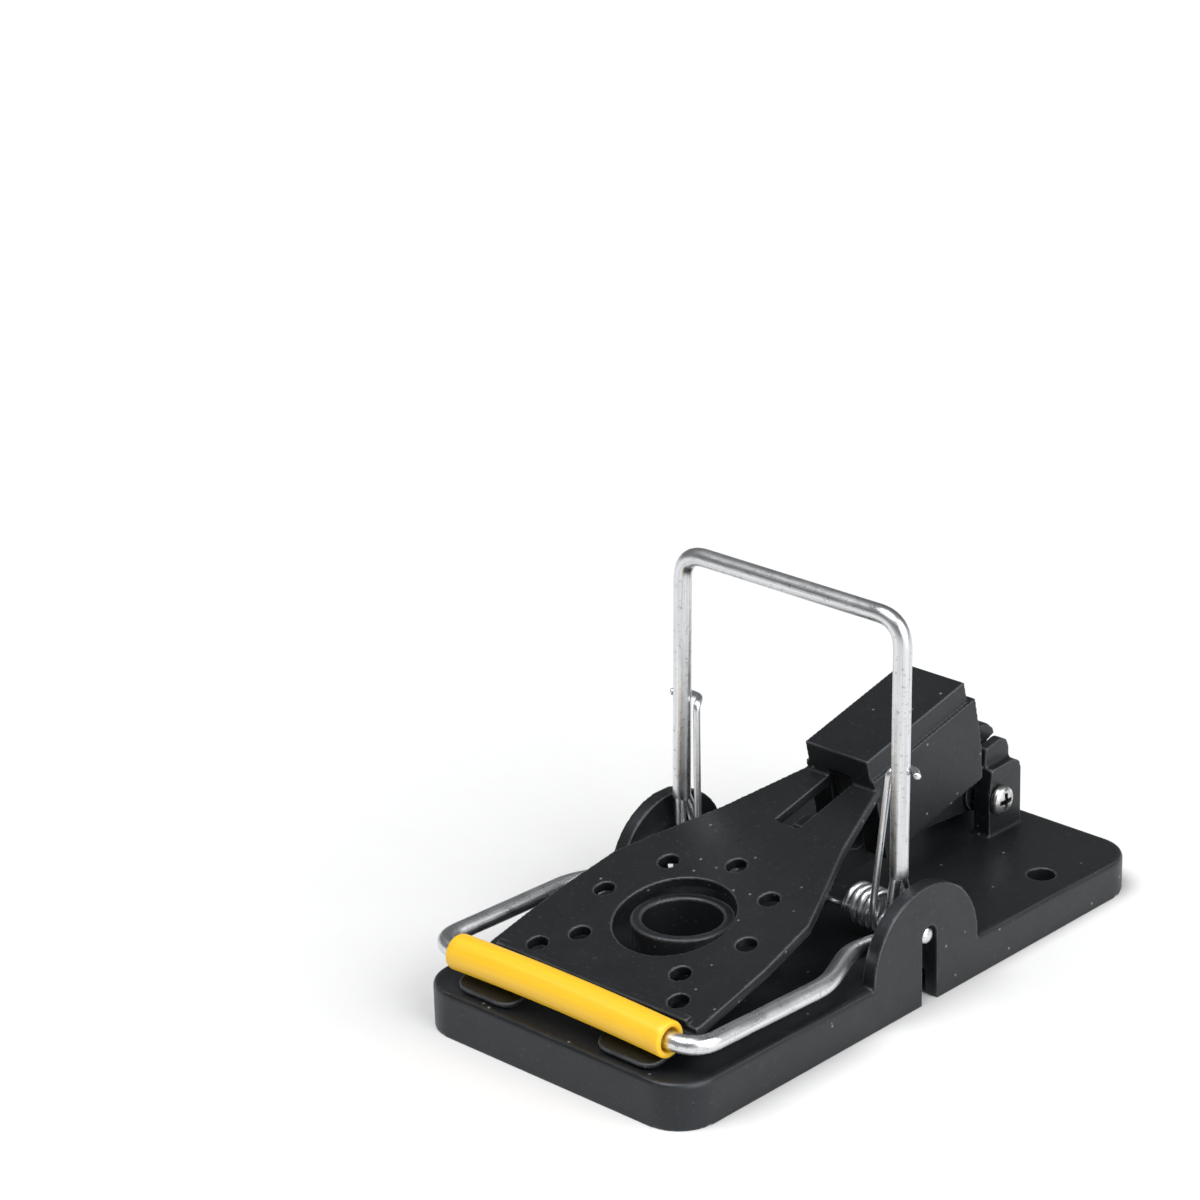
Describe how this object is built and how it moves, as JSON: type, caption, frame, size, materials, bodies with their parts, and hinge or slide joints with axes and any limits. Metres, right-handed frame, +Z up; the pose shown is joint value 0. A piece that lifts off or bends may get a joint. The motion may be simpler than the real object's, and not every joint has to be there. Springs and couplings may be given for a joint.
{
  "type": "snap mouse trap",
  "caption": "Snap mouse trap: moulded base with bait cup, rocking pedal, catch lever and a wire frame with a sleeved striking bar driven by a torsion spring.",
  "frame": {"origin": "centre of the base's footprint, on the surface the trap stands on", "axes": "+X across the trap, +Y from the striking bar to the catch bracket along the length, +Z up"},
  "size_m": [0.05, 0.098, 0.0565],
  "materials": {
    "black_plastic": "charcoal black moulded plastic with a fine satin texture",
    "zinc_wire": "bright zinc-plated drawn wire",
    "spring_wire": "bright plated spring wire",
    "screw_steel": "bright plated screw",
    "yellow_sleeve": "warm yellow extruded plastic sleeve, satin"
  },
  "bodies": {
    "base": {"base": "black_plastic", "catch_screw": "screw_steel"},
    "pedal": {"pedal": "black_plastic"},
    "catch": {"catch_lever": "black_plastic"},
    "frame": {"striker_wire": "zinc_wire", "handle_wire": "zinc_wire", "striker_sleeve": "yellow_sleeve", "axle_pin_left": "zinc_wire", "axle_pin_right": "zinc_wire", "torsion_spring": "spring_wire"}
  },
  "joints": [
    {"name": "frame_swing", "type": "hinge", "parent": "base", "child": "frame", "pos_m": [0, 0.0012, 0.01], "axis": [-1, 0, 0], "range_deg": [0, 81], "stiffness_Nm_per_rad": 0.05, "springref_deg": -57.3, "deforming": ["torsion_spring"]},
    {"name": "pedal_rock", "type": "hinge", "parent": "base", "child": "pedal", "pos_m": [0, 0.0012, 0.01], "axis": [-1, 0, 0], "range_deg": [0, 15.6]},
    {"name": "catch_swing", "type": "hinge", "parent": "base", "child": "catch", "pos_m": [0, 0.0396, 0.0114], "axis": [-1, 0, 0], "range_deg": [0, 13]}
  ],
  "couplings": [
    {"joint": "pedal_rock", "follows": "frame_swing", "ratio": 0.19259}
  ]
}
